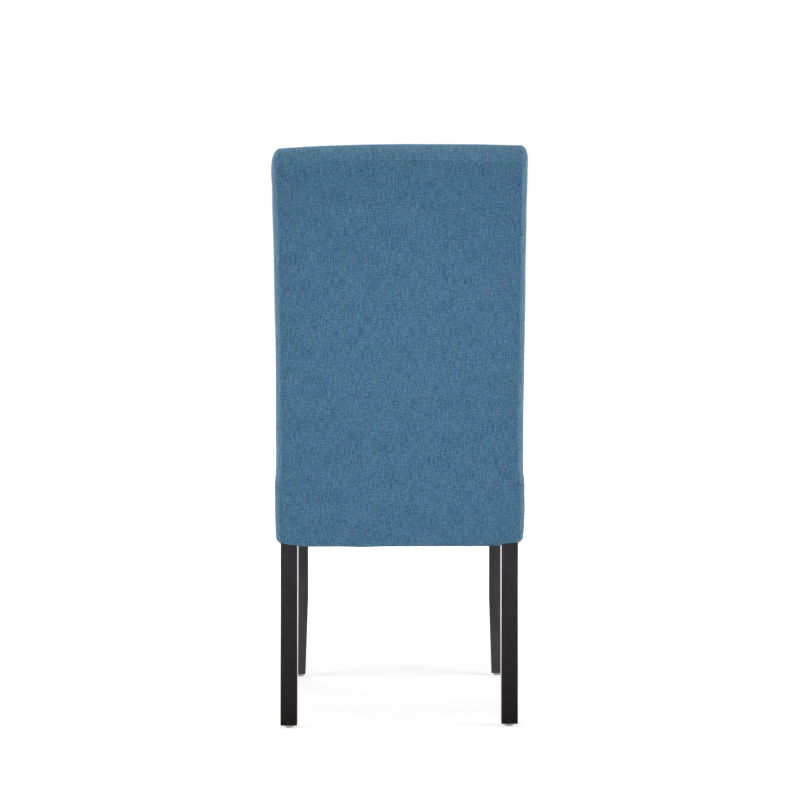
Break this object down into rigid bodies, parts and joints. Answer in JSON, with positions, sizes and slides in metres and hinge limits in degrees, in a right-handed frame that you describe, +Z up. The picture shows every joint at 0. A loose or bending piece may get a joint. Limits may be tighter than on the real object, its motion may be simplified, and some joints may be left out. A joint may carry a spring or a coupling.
{
  "type": "upholstered dining chair",
  "caption": "Fully upholstered high-back dining chair with square dark wooden legs, a padded seat with an upholstered band and a gently leaning padded back.",
  "frame": {"origin": "on the floor, under the middle of the chair's box", "axes": "+Z up, -Y the way the seat faces, +X the sitter's left"},
  "size_m": [0.448, 0.61, 1.04],
  "materials": {
    "dark_wood": "satin",
    "frame_wood": "matte",
    "blue_fabric": "matte",
    "foam": "matte",
    "wadding": "matte",
    "fibreboard": "matte",
    "webbing": "matte",
    "black_cloth": "matte",
    "zinc_plated_steel": "satin",
    "nickel": "gloss"
  },
  "bodies": {
    "root": {"rear_leg_left": "dark_wood", "rear_leg_right": "dark_wood", "front_leg_left": "dark_wood", "front_leg_right": "dark_wood", "seat_rail_front": "frame_wood", "seat_rail_rear": "frame_wood", "seat_rail_left": "frame_wood", "seat_rail_right": "frame_wood", "back_rail_lower": "frame_wood", "back_rail_top": "frame_wood", "corner_block_front_left": "frame_wood", "corner_block_front_right": "frame_wood", "corner_block_rear_left": "frame_wood", "corner_block_rear_right": "frame_wood", "corner_bolt_front_left": "zinc_plated_steel", "corner_bolt_front_right": "zinc_plated_steel", "corner_bolt_rear_left": "zinc_plated_steel", "corner_bolt_rear_right": "zinc_plated_steel", "corner_washer_front_left": "zinc_plated_steel", "corner_washer_front_right": "zinc_plated_steel", "corner_washer_rear_left": "zinc_plated_steel", "corner_washer_rear_right": "zinc_plated_steel", "glide_front_left": "nickel", "glide_front_right": "nickel", "glide_rear_left": "nickel", "glide_rear_right": "nickel", "seat_webbing_long_1": "webbing", "seat_webbing_long_2": "webbing", "seat_webbing_long_3": "webbing", "seat_webbing_cross_1": "webbing", "seat_webbing_cross_2": "webbing", "seat_webbing_cross_3": "webbing", "back_webbing_1": "webbing", "back_webbing_2": "webbing", "back_webbing_3": "webbing", "back_webbing_4": "webbing", "seat_foam": "foam", "back_foam": "foam", "seat_edge_wadding": "wadding", "back_edge_wadding": "wadding", "outside_back_wadding": "wadding", "outside_back_liner": "fibreboard", "seat_cover": "blue_fabric", "inside_back_cover": "blue_fabric", "outside_back_cover": "blue_fabric", "dust_cover": "black_cloth"}
  },
  "joints": []
}
